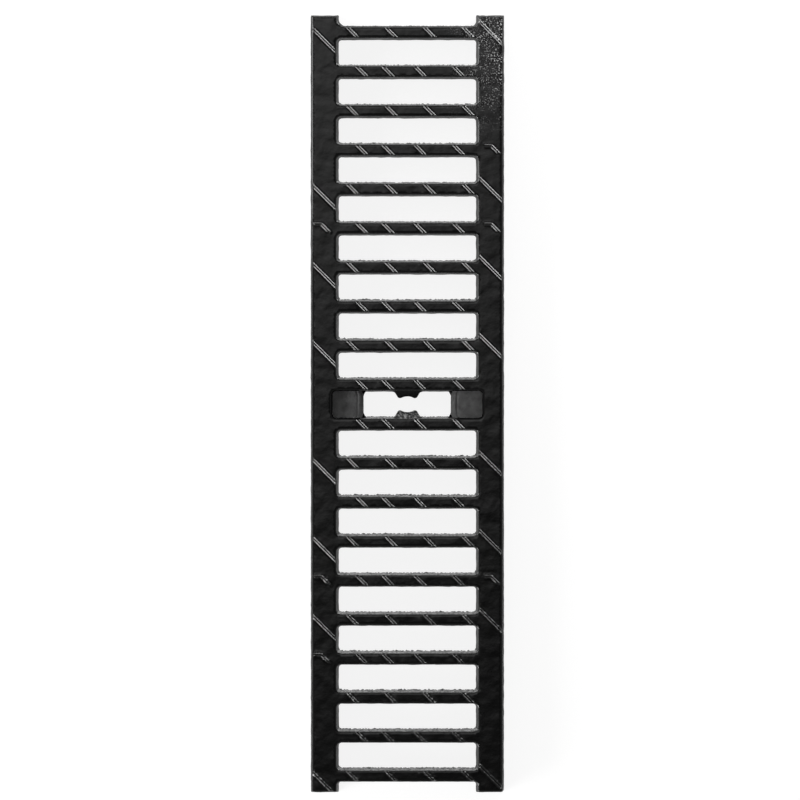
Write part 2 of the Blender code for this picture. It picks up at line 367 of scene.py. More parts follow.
    def guide_points(self) -> np.ndarray:
        """Points that the tread's mesh needs to carry the ribs, in rows along each rib."""
        points = []
        across = [away for away, _ in self.profile]
        for rib in self.layout():
            for start, end in zip(rib.route, rib.route[1:]):
                first = -self.foot_reach if start == rib.route[0] else 0.0
                beyond = self.foot_reach if end == rib.route[-1] else 0.0
                start, leg = Vector(start), Vector(end) - Vector(start)
                last = leg.length + beyond
                leg.normalize()
                sideways = Vector((-leg.y, leg.x))
                count = max(2, round((last - first) / self.station))
                for step in range(count + 1):
                    middle = start + leg * (first + (last - first) * step / count)
                    points += [tuple(middle + sideways * shift) for shift in across]
                    points += [tuple(middle - sideways * shift) for shift in across[1:]]
        return np.array(points)


@dataclass
class MeshParts:
    """Corners and faces of the mesh as they are gathered, with a zone for each face."""

    places: list[Place] = field(default_factory=list)
    faces: list[tuple[int, ...]] = field(default_factory=list)
    zones: list[Zone] = field(default_factory=list)

    def add_places(self, places: Iterable[Place]) -> list[int]:
        """Adds corners and returns their numbers."""
        start = len(self.places)
        self.places.extend(places)
        return list(range(start, len(self.places)))

    def add_face(self, corners: tuple[int, ...], zone: Zone) -> None:
        """Adds one face."""
        self.faces.append(corners)
        self.zones.append(zone)

    def to_mesh(self, name: str) -> bpy.types.Mesh:
        """Writes the mesh in metres."""
        mesh = bpy.data.meshes.new(name)
        mesh.from_pydata([(x * MM, y * MM, z * MM) for x, y, z in self.places], [], self.faces)
        mesh.polygons.foreach_set("material_index", [zone.value for zone in self.zones])
        mesh.update()
        return mesh


def corner_outline(corners: Sequence[Point], radii: Sequence[float], counts: Sequence[int],
                   steps: int) -> list[Point]:
    """Outline with square corners, each rounded off, and with points along its sides.

    Args:
        corners: The corners, counter-clockwise, with sides along X and Y.
        radii: The radius of each corner.
        counts: Pieces that the side after each corner is divided into.
        steps: Pieces of the arc at each corner.

    Returns:
        The points of the outline.
    """
    points: list[Point] = []
    total = len(corners)
    for number, corner in enumerate(corners):
        here, radius = Vector(corner), radii[number]
        arriving = (here - Vector(corners[number - 1])).normalized()
        after = Vector(corners[(number + 1) % total])
        leaving = (after - here).normalized()
        centre = here + (leaving - arriving) * radius
        for step in range(steps + 1):
            angle = math.pi / 2 * step / steps
            point = centre - leaving * radius * math.cos(angle)
            point += arriving * radius * math.sin(angle)
            points.append((point.x, point.y))
        start = here + leaving * radius
        end = after - leaving * radii[(number + 1) % total]
        for piece in range(1, counts[number]):
            point = start.lerp(end, piece / counts[number])
            points.append((point.x, point.y))
    return points


def within(points: np.ndarray, low: np.ndarray, high: np.ndarray) -> np.ndarray:
    """Numbers of the points inside a box."""
    return np.nonzero(((points > low) & (points < high)).all(1))[0]


def distance(points: np.ndarray, start: np.ndarray, end: np.ndarray) -> np.ndarray:
    """Distance from each point to a straight line between two others."""
    leg = end - start
    along = np.clip((points - start) @ leg / (leg @ leg), 0.0, 1.0)
    return np.linalg.norm(points - start - along[:, None] * leg, axis=1)


def inside(points: np.ndarray, loop: np.ndarray) -> np.ndarray:
    """Tells which points lie inside a closed outline.

    Args:
        points: Points in plan, one a row.
        loop: The outline's points in order.

    Returns:
        True for each point inside.
    """
    result = np.zeros(len(points), bool)
    near = within(points, loop.min(0), loop.max(0))
    x, y = points[near].T
    odd = np.zeros(len(near), bool)
    for (x0, y0), (x1, y1) in zip(loop, np.roll(loop, -1, axis=0)):
        if y0 == y1:
            continue
        crosses = (y0 > y) != (y1 > y)
        odd ^= crosses & (x < (x1 - x0) * (y - y0) / (y1 - y0) + x0)
    result[near] = odd
    return result


def on_metal(points: np.ndarray, loops: Sequence[np.ndarray]) -> np.ndarray:
    """Tells which points lie inside the first outline and outside all the others."""
    result = inside(points, loops[0])
    for loop in loops[1:]:
        result &= ~inside(points, loop)
    return result


@dataclass
class CastBody:
    """The casting without its lock pieces: rails, bars, slots, tread and underside.

    The sand's grain is drawn out along Z and coarser than real sand, which would be too
    fine to show. It lies on the walls that face +Y, fades towards the tread, and is
    weaker on the end wall. A slot's walls are glossy over the upper part of their
    rounded edge, and the outer walls over less of it.
    """

    sizes: CastingSizes
    ribs: TreadRibs
    grainy_spacing: float = 0.6
    spacing: float = 2.0
    outer_spacing: float = 2.0
    tread_spacing: float = 1.55
    row_step: float = 0.866
    rib_cell: float = 1.2
    rib_clearance: float = 0.15
    grid_clearance: float = 0.8
    clearance_reach: float = 1.5
    weld: float = 1e-6
    corner_steps: int = 5
    horn_steps: int = 3
    rough_depth: float = 0.12
    rough_grain: float = 2.6
    smooth_rounds: float = 3.0
    sandy_depth: float = 0.9
    sandy_grain: float = 0.9
    run_length: float = 2.5
    sandy_slope: float = 2.5
    sandy_offset: float = 0.75
    sandy_fade: float = 0.65
    end_sandy: float = 0.4
    flash_depth: float = 0.25
    flash_grain: float = 5.0
    flash_height: float = 1.2
    flash_bias: float = 0.25
    glossy_inside: float = 0.8
    glossy_outside: float = 0.3
    pocket_from: float = 30.0
    pocket_to: float = 55.0
    wave_depth: float = 0.07
    wave_length: float = 8.0
    ripple_depth: float = 0.45
    ripple_pace: float = 2.7
    wall_margin: float = 0.4
    pocket_margin: float = 0.1

    def outer_loop(self, level: Level) -> list[Point]:
        """Outline of the whole casting at one level, with its end notches."""
        s = self.sizes
        x, y = s.width / 2 - level.outer, s.length / 2 - level.outer
        notch_x, notch_y = s.slot_length / 2 + level.end, s.last_wall - level.side
        half = [(-x, -y), (-notch_x, -y), (-notch_x, -notch_y), (notch_x, -notch_y), (notch_x, -y),
                (x, -y)]
        corners = half + [(-across, -along) for across, along in half]
        near, small = s.notch_corner_near + level.side, s.outer_corner
        far_left = s.notch_corner_far_left + level.side
        far_right = s.notch_corner_far_right + level.side
        radii = (small, small, near, near, small, s.worn_corner, small, small, far_right,
                 far_left, small, small)
        rail = round((s.width - s.slot_length) / 2 / self.outer_spacing)
        bar, side = round(s.slot_length / self.grainy_spacing), round(s.length / self.outer_spacing)
        counts = (rail, self.horn_steps, bar, self.horn_steps, rail, side) * 2
        return corner_outline(corners, radii, counts, self.corner_steps)

    def slot_loop(self, row: int, level: Level) -> list[Point]:
        """Outline of one slot at one level. Row 0 is the lock slot."""
        s = self.sizes
        length = s.slot_length if row else s.lock_slot_length
        radius = (s.slot_corner if row else s.lock_corner) + level.side
        x, half = length / 2 + level.end, s.slot_width / 2 + level.side
        y = row * s.bar_pitch
        corners = ((-x, y - half), (x, y - half), (x, y + half), (-x, y + half))
        grainy = round(s.slot_length / self.grainy_spacing)
        across, plain = (round(size / self.spacing) for size in (s.slot_width, s.slot_length))
        counts = (grainy, across, plain, across)
        return corner_outline(corners, (radius,) * 4, counts, self.corner_steps)

    def roughen(self, loop: list[Point], level: Level, into_metal: float) -> list[Place]:
        """Gives one level of a wall the unevenness that the sand mould leaves.

        Args:
            loop: The wall's outline at this level, counter-clockwise.
            level: The level.
            into_metal: 1 where the outline's outer side is metal, or else -1.

        Returns:
            The corners of that level.
        """
        s = self.sizes
        fade = min(1.0, max(0.0, (s.height - level.height) / (self.smooth_rounds * s.edge_round)))
        low = max(0.0, 1.0 - level.height / self.flash_height)
        places = []
        for before, (x, y), after in zip(loop[-1:] + loop, loop, loop[1:] + loop[:1]):
            outward = Vector((after[1] - before[1], before[0] - after[0])).normalized()
            spot = Vector((x, y, level.height))
            bump = self.rough_depth * noise.noise(spot / self.rough_grain)
            turned = -into_metal * outward.y * self.sandy_slope - self.sandy_offset
            sandy = min(1.0, max(0.0, turned))
            run = Vector((x, y, level.height / self.run_length)) / self.sandy_grain
            sandy *= 1 - self.sandy_fade * level.height / s.height
            sandy *= 1.0 if into_metal > 0 else self.end_sandy
            bump += sandy * self.sandy_depth * noise.noise(run)
            flash = max(0.0, noise.noise(spot / self.flash_grain) + self.flash_bias)
            shift = into_metal * fade * (bump - self.flash_depth * low * flash)
            lift = 1 + self.wave(x, y) / s.height
            places.append((x + outward.x * shift, y + outward.y * shift, level.height * lift))
        return places

    def add_wall(self, parts: MeshParts, loops: list[list[Point]],
                 into_metal: float) -> tuple[list[int], list[int]]:
        """Adds one wall.

        Args:
            parts: The mesh so far.
            loops: The wall's outline at each level, from the underside up.
            into_metal: 1 for a slot, -1 for the outside of the casting.

        Returns:
            The numbers of the lowest and the highest row of corners.
        """
        levels = self.sizes.levels()[:-1]
        rows = [parts.add_places(self.roughen(loop, level, into_metal))
                for loop, level in zip(loops, levels)]
        count = len(loops[0])
        glossy = self.glossy_inside if into_metal > 0 else self.glossy_outside
        tread_from = self.sizes.height - self.sizes.edge_round * glossy
        for low, high, level in zip(rows, rows[1:], levels):
            for here in range(count):
                after = (here + 1) % count
                zone = self.wall_zone(loops[0][here], loops[0][after], into_metal)
                if level.height > tread_from and zone is not Zone.PAINTED_SHADE_WALL:
                    zone = Zone.TREAD
                face = (low[here], low[after], high[after], high[here])
                parts.add_face(face if into_metal < 0 else face[::-1], zone)
        return rows[0], rows[-1]

    def wall_zone(self, start: Point, end: Point, into_metal: float) -> Zone:
        """Tells what kind of wall stands on one piece of an outline.

        Args:
            start: One end of the piece.
            end: The other end.
            into_metal: 1 for a slot, -1 for the outside of the casting.

        Returns:
            The zone of the wall.
        """
        # Walls in the pocket over a shelf take the paint that carries painted shade.
        if self.in_pocket(start, end):
            return Zone.PAINTED_SHADE_WALL
        faces_y = into_metal * (end[0] - start[0])
        # Slot walls that face +Y, the lit side, take the paint with painted glints.
        if into_metal > 0 and faces_y > abs(end[1] - start[1]):
            return Zone.GRAINY_WALL_PAINTED_GLINTS
        # Outer walls, but not those in the end notches, take the paint that carries painted shade.
        in_notch = abs(start[0]) < self.sizes.slot_length / 2 + self.wall_margin
        return Zone.WALL if into_metal > 0 or in_notch else Zone.OUTER_WALL_PAINTED_SHADE

    def in_pocket(self, start: Point, end: Point) -> bool:
        """Tells whether a piece of wall stands over one of the lock slot's shelves."""
        reach = self.sizes.slot_width / 2 + self.pocket_margin
        beside = max(abs(start[1]), abs(end[1])) < reach
        return beside and self.pocket_from < abs(start[0]) < self.pocket_to

    def wave(self, x: float, y: float) -> float:
        """Gentle unevenness of the tread."""
        spot = Vector((x, y, 0.0)) / self.wave_length
        ripple = self.ripple_depth * noise.noise(spot * self.ripple_pace)
        return self.wave_depth * (noise.noise(spot) + ripple)

    def field_points(self, loops: list[np.ndarray], rims: list[np.ndarray]) -> np.ndarray:
        """Points between the outlines that the tread's mesh is made of.

        Args:
            loops: The outlines at which the walls end, the outer one first.
            rims: The outlines at which the rounded edges run out into the flat tread.

        Returns:
            The points of the ribs, of the rims and of a grid between them.
        """
        s = self.sizes
        guides = self.ribs.guide_points()
        step = self.tread_spacing
        rows = int(s.length / (step * self.row_step)) + 1
        columns = int(s.width / step) + 1
        grid = np.array([((column + 0.5 * (row % 2)) * step - s.width / 2,
                          row * step * self.row_step - s.length / 2)
                         for row in range(rows) for column in range(columns)])
        by_ribs = {(round(x / self.rib_cell), round(y / self.rib_cell)) for x, y in guides}
        free = [(round(x / self.rib_cell), round(y / self.rib_cell)) not in by_ribs for x, y in grid]
        kept = [np.vstack(rims)]
        for points, least in ((guides, self.rib_clearance), (grid[free], self.grid_clearance)):
            points = points[on_metal(points, loops)]
            kept.append(points[self.clearance(points, loops) > least])
        return np.vstack(kept)

    def tread_heights(self, points: np.ndarray, loops: list[np.ndarray]) -> np.ndarray:
        """Height of the tread: its ribs, its waves and the last of its rounded edge."""
        s = self.sizes
        levels = s.levels()
        reach = levels[-1].outer - levels[-2].outer
        left = np.maximum(reach - self.clearance(points, loops), 0.0)
        drop = s.edge_round - np.sqrt(s.edge_round ** 2 - left ** 2)
        waves = [self.wave(x, y) for x, y in points.tolist()]
        return s.height + self.ribs.rise(points) + np.array(waves) - drop

    def clearance(self, points: np.ndarray, loops: list[np.ndarray]) -> np.ndarray:
        """Distance from each point to the nearest outline."""
        nearest = np.full(len(points), np.inf)
        for loop in loops:
            for start, end in zip(loop, np.roll(loop, -1, axis=0)):
                near = within(points, np.minimum(start, end) - self.clearance_reach,
                              np.maximum(start, end) + self.clearance_reach)
                if len(near):
                    nearest[near] = np.minimum(nearest[near], distance(points[near], start, end))
        return nearest

    def add_sheet(self, parts: MeshParts, rows: Sequence[list[int]], extra: np.ndarray,
                  zone: Zone) -> None:
        """Fills the face between one outer outline and the holes in it.

        Args:
            parts: The mesh so far, which holds the corners of the outlines.
            rows: Corner numbers of the outlines, the outer one first.
            extra: Points between them, in plan.
            zone: The zone of the new faces. The tread faces up and the underside down.
        """
        numbers = [number for row in rows for number in row]
        plan = np.array([parts.places[number][:2] for number in numbers])
        loops, edges, start = [], [], 0
        for row in rows:
            loops.append(plan[start:start + len(row)])
            edges += [(start + n, start + (n + 1) % len(row)) for n in range(len(row))]
            start += len(row)
        if zone is Zone.TREAD:
            heights = self.tread_heights(extra, loops)
            numbers += parts.add_places(np.column_stack((extra, heights)).tolist())
            plan = np.vstack((plan, extra))
        points = [Vector(point) for point in plan.tolist()]
        result = geometry.delaunay_2d_cdt(points, edges, [], 0, self.weld)
        corners, triangles, origins = result[0], result[2], result[3]
        made = np.array([tuple(corner) for corner in corners])
        middles = np.array([made[list(t)].mean(0) for t in triangles])
        for triangle, kept in zip(triangles, on_metal(middles, loops)):
            if kept:
                face = tuple(numbers[origins[corner][0]] for corner in triangle)
                parts.add_face(face if zone is Zone.TREAD else face[::-1], zone)

    def build(self) -> bpy.types.Mesh:
        """Builds the closed mesh of the body."""
        parts = MeshParts()
        levels = self.sizes.levels()
        slots = range(1 - self.sizes.bars_each_side, self.sizes.bars_each_side)
        walls = [self.add_wall(parts, [self.outer_loop(level) for level in levels], -1.0)]
        for row in slots:
            loops = [self.slot_loop(row, level) for level in levels]
            walls.append(self.add_wall(parts, loops, 1.0))
        lows, highs = zip(*walls)
        loops = [np.array([parts.places[number][:2] for number in row]) for row in highs]
        rims = [np.array(self.outer_loop(levels[-1]))]
        rims += [np.array(self.slot_loop(row, levels[-1])) for row in slots]
        self.add_sheet(parts, highs, self.field_points(loops, rims), Zone.TREAD)
        self.add_sheet(parts, lows, np.empty((0, 2)), Zone.UNDERSIDE)
        return parts.to_mesh("grate_body")


@dataclass
class LockPieces:
    """Shelves and nubs of the lock slot, as closed solids that are merged with the body.

    The fields that end in pieces tell how finely a stretch is divided. Those of a shelf
    are for its foot, nose, top, back and underside.
    """

    sizes: CastingSizes
    gap_length: float = 56.1
    gap_corner_reach: float = 1.7
    gap_corner_span: float = 3.2
    gap_corner_back: float = 0.5
    gap_corner_drop: float = 0.4
    gap_corner_bend: float = 1.4
    gap_corner_pieces: int = 8
    shelf_drop: float = 5.0
    shelf_thickness: float = 7.6
    shelf_nose: float = 3.1
    crease_width: float = 1.2
    crease_depth: float = 0.25
    crease_shares: Span = (0.7, 0.3)
    shelf_pieces: tuple[int, ...] = (3, 10, 18, 5, 12)
    across_pieces: int = 7
    # Strips at the foot of each shelf's nose that take the paint of painted shade.
    painted_shade_strips: int = 5
    right_nose_out: float = 0.28
    nub_gap: float = 7.8
    nub_tip: float = 1.9
    nub_root: float = 2.0
    nub_edge: float = 0.4
    nub_flank: float = math.radians(60.0)
    nub_root_drop: float = 3.0
    nub_tip_drop: float = 6.5
    nub_thickness: float = 6.0
    nub_shares: tuple[float, ...] = (0.0, 0.2, 0.4, 0.6, 0.8, 1.0)
    nub_turns: tuple[float, ...] = (0.3, 0.6, 1.0)
    notch_pieces: int = 8
    tip_pieces: int = 7
    root_pieces: int = 5
    notch_radius: float = 8.5
    notch_span: float = 10.1
    root_depth: float = 1.2
    rough_depth: float = 0.10
    rough_grain: float = 2.2

    def uneven(self, place: Place) -> Place:
        """Shifts one corner as an uneven sand mould would."""
        spot = Vector(place)
        shift = noise.noise_vector(spot / self.rough_grain) * self.rough_depth
        return tuple(spot + shift)

    def shelf_profile(self, side: Side, out: float) -> list[Point]:
        """Section of a shelf in X and Z, from the foot of its nose over its top and back.

        Args:
            side: Which end of the lock slot.
            out: How far the foot of the nose stands out, to round the gap's corner.

        Returns:
            The points of the section.
        """
        s, r = self.sizes, self.shelf_nose
        top = s.height - self.shelf_drop
        low = top - self.shelf_thickness
        root = s.lock_slot_length / 2 + s.lean(s.end_draft) + self.root_depth
        foot_x = self.gap_length / 2 - out - (self.right_nose_out if side is Side.RIGHT else 0.0)
        nose_x = foot_x + out * (1 + self.gap_corner_back)
        foot = top - r - self.gap_corner_drop
        foot_count, nose_count, top_count, back_count, low_count = self.shelf_pieces
        profile = line((foot_x, low), (foot_x, foot), foot_count)
        for step in range(nose_count + 1):
            angle = math.pi / 2 * step / nose_count
            profile.append((nose_x + r - r * math.cos(angle), top - r + r * math.sin(angle)))
        start = nose_x + r + self.crease_width
        for share in self.crease_shares:
            profile.append((start - self.crease_width * share, top - self.crease_depth))
        profile += line((start, top), (root, top), top_count)
        profile += line((root, low), (root, top), back_count)[-2::-1]
        return profile + line((root, low), (foot_x, low), low_count)[1:-1]

    def shelf_stations(self) -> list[Point]:
        """Places across a shelf, and how far its nose stands out there into the gap."""
        s = self.sizes
        wall = s.slot_width / 2 + s.lean(s.side_draft) / 2
        outermost = s.slot_width / 2 + s.lean(s.side_draft) + self.root_depth
        half = [(outermost, self.gap_corner_reach)]
        for step in range(self.gap_corner_pieces + 1):
            share = step / self.gap_corner_pieces
            out = self.gap_corner_reach * (1 - share) ** self.gap_corner_bend
            half.append((wall - self.gap_corner_span * share, out))
        inner, count = wall - self.gap_corner_span, self.across_pieces
        half += [(inner * (1 - step / count), 0.0) for step in range(1, count)]
        return [(-y, out) for y, out in half] + [(0.0, 0.0)] + half[::-1]

    def add_shelf(self, parts: MeshParts, side: Side) -> None:
        """Adds one shelf with its rounded nose."""
        rows = []
        for y, out in self.shelf_stations():
            profile = self.shelf_profile(side, out)
            places = (self.uneven((side.value * x, y, z)) for x, z in profile)
            rows.append(parts.add_places(places))
        self.skin(parts, rows, Zone.SHELF, self.painted_shade_strips)

    def skin(self, parts: MeshParts, rows: list[list[int]], zone: Zone, shaded_count: int) -> None:
        """Closes a row of rings into one solid, whose first few strips carry painted shade."""
        count = len(rows[0])
        for low, high in zip(rows, rows[1:]):
            for here in range(count):
                after = (here + 1) % count
                paint = Zone.PAINTED_SHADE_WALL if here < shaded_count else zone
                parts.add_face((low[here], low[after], high[after], high[here]), paint)
        parts.add_face(tuple(rows[0][::-1]), zone)
        parts.add_face(tuple(rows[-1]), zone)

    def nub_outline(self, inset: float) -> list[Point]:
        """Plan of a nub on the +Y side of the bolt, drawn in by an inset.

        Args:
            inset: How far the outline lies inside the full one.

        Returns:
            Points from one root over the bolt's notch to the other, and round the back.
        """
        s = self.sizes
        wall = s.slot_width / 2
        tip_y = self.nub_gap / 2 + self.nub_tip
        notch_y = self.notch_span / 2 - self.notch_radius
        tip_x = math.sqrt((self.notch_radius + self.nub_tip) ** 2 - (tip_y - notch_y) ** 2)
        notch_end = math.atan2(tip_y - notch_y, tip_x)
        flank_normal = self.nub_flank - math.pi / 2
        half = arc((0.0, notch_y), self.notch_radius + inset, (math.pi / 2, notch_end),
                   self.notch_pieces)
        half += arc((tip_x, tip_y), self.nub_tip - inset, (notch_end - math.pi, flank_normal),
                    self.tip_pieces)[1:]
        full_x = tip_x + self.nub_tip * math.cos(flank_normal)
        full_y = tip_y + self.nub_tip * math.sin(flank_normal)
        root_y = wall - self.nub_root
        climb = root_y - full_y + self.nub_root * math.cos(self.nub_flank)
        root_x = full_x + climb / math.tan(self.nub_flank)
        root_x += self.nub_root * math.sin(self.nub_flank)
        half += arc((root_x, root_y), self.nub_root + inset,
                    (flank_normal + math.pi, math.pi / 2), self.root_pieces)
        back = wall + s.lean(s.side_draft) + self.root_depth
        half.append((root_x, back))
        return half + [(-x, y) for x, y in half[:0:-1]]

    def add_nub(self, parts: MeshParts, side: Side) -> None:
        """Adds one nub, whose top falls away towards the bolt."""
        s = self.sizes
        wall = s.slot_width / 2
        slope = (self.nub_tip_drop - self.nub_root_drop) / (wall - self.nub_gap / 2)
        low = s.height - self.nub_tip_drop - self.nub_thickness
        root_top = s.height - self.nub_root_drop
        rows = []
        levels = [(0.0, share) for share in self.nub_shares]
        for turn in self.nub_turns:
            angle = math.pi / 2 * turn
            levels.append((1 - math.cos(angle), 1 + math.sin(angle)))
        for inward, share in levels:
            places = []
            for x, y in self.nub_outline(inward * self.nub_edge):
                top = root_top - slope * (wall - y) - self.nub_edge
                z = low + (top - low) * share if share <= 1 else top + self.nub_edge * (share - 1)
                places.append(self.uneven((x, side.value * y, z)))
            rows.append(parts.add_places(places))
        # The nub on the -Y side, whose top faces +Y, takes the lighter paint of painted light; the
        # other nub keeps the wall paint.
        self.skin(parts, rows, Zone.SANDY_NUB_PAINTED_LIGHT if side is Side.LEFT else Zone.WALL, 0)

    def build(self) -> bpy.types.Mesh:
        """Builds the four solids in one mesh."""
        parts = MeshParts()
        for side in Side:
            self.add_shelf(parts, side)
            self.add_nub(parts, side)
        return parts.to_mesh("lock_pieces")


@dataclass(frozen=True)
class BitumenPaint:
    """Black bitumen paint, dipped over ductile iron as it came out of a sand mould.

    The paint is a deep, nearly neutral black with a wet gloss, so the eye reads it by
    its reflections. It levels out on the tread, into a skin like orange peel, and on
    the walls it only darkens the grain of the sand. Run draws the grain out along Z.
    Specks are grains with more sheen, in a lighter colour that is painted glint. Pebbles are lumps in
    a light grey that is painted highlight. Specks and pebbles are larger than real grains of sand, so
    that they hold at the size of a picture.
    """

    name: str
    colour: str = "#090909"
    dusty: str = "#0e0e0e"
    ior: float = 1.5
    specular: float = 0.5
    gloss: Span = (0.06, 0.12)
    peel_mm: float = 2.4
    peel_depth_mm: float = 0.024
    grain_mm: float = 0.7
    grain_depth_mm: float = 0.007
    noise_roughness: float = 0.55
    cloud_mm: float = 14.0
    cloud_span: Span = (0.3, 0.7)
    run: float = 1.0
    speck: float = 0.0
    speck_mm: float = 2.2
    wet_span: Span = (0.43, 0.57)
    glint_span: Span = (0.48, 0.62)
    glint_colour: str = "#5a5a5a"
    pebbled: bool = False
    pebble_highlight: str = "#c4c4c4"
    pebble_mm: float = 1.0
    pebble_span: Span = (0.53, 0.68)
    pebble_depth_mm: float = 0.07
    patch_mm: float = 7.0
    patch_span: Span = (0.35, 0.6)
    pebbles_across_mm: Span = (18.0, 56.0)
    pebbles_along_mm: Span = (162.0, 234.0)

    def make(self) -> bpy.types.Material:
        """Makes the material."""
        material = bpy.data.materials.new(self.name)
        material.use_nodes = True
        tree = material.node_tree
        shader = tree.nodes["Principled BSDF"].inputs
        shader["IOR"].default_value = self.ior
        shader["Specular IOR Level"].default_value = self.specular
        place = add_node(tree, "ShaderNodeTexCoord").outputs["Object"]
        cloud = self.pattern(tree, place, self.cloud_mm, 3.0)
        drawn = {"operation": "MULTIPLY", 0: place, 1: (1.0, 1.0, 1 / self.run)}
        runs = add_node(tree, "ShaderNodeVectorMath", drawn).outputs["Vector"]
        colour = self.blend(tree, cloud, linear_colour(self.colour), self.dusty)
        tree.links.new(spread(tree, cloud, self.cloud_span, self.gloss), shader["Roughness"])
        peel = self.bump(tree, self.pattern(tree, runs, self.peel_mm, 1.0), self.peel_depth_mm)
        grain = self.pattern(tree, runs, self.grain_mm, 3.0)
        relief = self.bump(tree, grain, self.grain_depth_mm, peel)
        if self.speck:
            grains = self.pattern(tree, runs, self.speck_mm, 2.0)
            levels = (self.specular * (1 - self.speck), self.specular * (1 + self.speck))
            wet = spread(tree, grains, self.wet_span, levels)
            tree.links.new(wet, shader["Specular IOR Level"])
            # Painted glint: the specks take a lighter colour.
            colour = self.blend(tree, spread(tree, grains, self.glint_span), colour, self.glint_colour)
        if self.pebbled:
            lumps = self.pebbles(tree, place)
            # Painted highlight: the pebbles take a light grey.
            colour = self.blend(tree, lumps, colour, self.pebble_highlight)
            relief = self.bump(tree, lumps, self.pebble_depth_mm, relief)
        tree.links.new(colour, shader["Base Color"])
        tree.links.new(relief, shader["Normal"])
        return material

    def pattern(self, tree: Tree, place: Socket, size_mm: float, detail: float) -> Socket:
        """A noise whose lumps have a real size."""
        settings = {"Scale": 1 / (size_mm * MM), "Detail": detail, "Vector": place,
                    "Roughness": self.noise_roughness}
        return add_node(tree, "ShaderNodeTexNoise", settings).outputs["Fac"]

    def blend(self, tree: Tree, share: Socket, colour: Any, other: str) -> Socket:
        """A colour, or what a socket gives, with a share of another colour over it."""
        settings = {"data_type": "RGBA", 0: share, 6: colour, 7: linear_colour(other)}
        return add_node(tree, "ShaderNodeMix", settings).outputs[2]

    def bump(self, tree: Tree, height: Socket, depth_mm: float, under: Socket | None = None) -> Socket:
        """A bump of a real depth, on top of another one where there is one."""
        settings = {"Distance": depth_mm * MM, "Height": height}
        if under:
            settings["Normal"] = under
        return add_node(tree, "ShaderNodeBump", settings).outputs["Normal"]

    def pebbles(self, tree: Tree, place: Socket) -> Socket:
        """Pebbles on the right-hand rail towards the +Y end, where the paint ran thick, in a light
        grey that is painted highlight.
        """
        spot = add_node(tree, "ShaderNodeSeparateXYZ", {"Vector": place}).outputs
        shares = []
        for axis, (low, high) in (("X", self.pebbles_across_mm), ("Y", self.pebbles_along_mm)):
            shares.append(spread(tree, spot[axis], (low * MM, high * MM), smooth=True))
        for size, span in ((self.patch_mm, self.patch_span), (self.pebble_mm, self.pebble_span)):
            shares.append(spread(tree, self.pattern(tree, place, size, 2.0), span))
        lumps = shares[0]
        for share in shares[1:]:
            lumps = reckon(tree, "MULTIPLY", lumps, share)
        return lumps


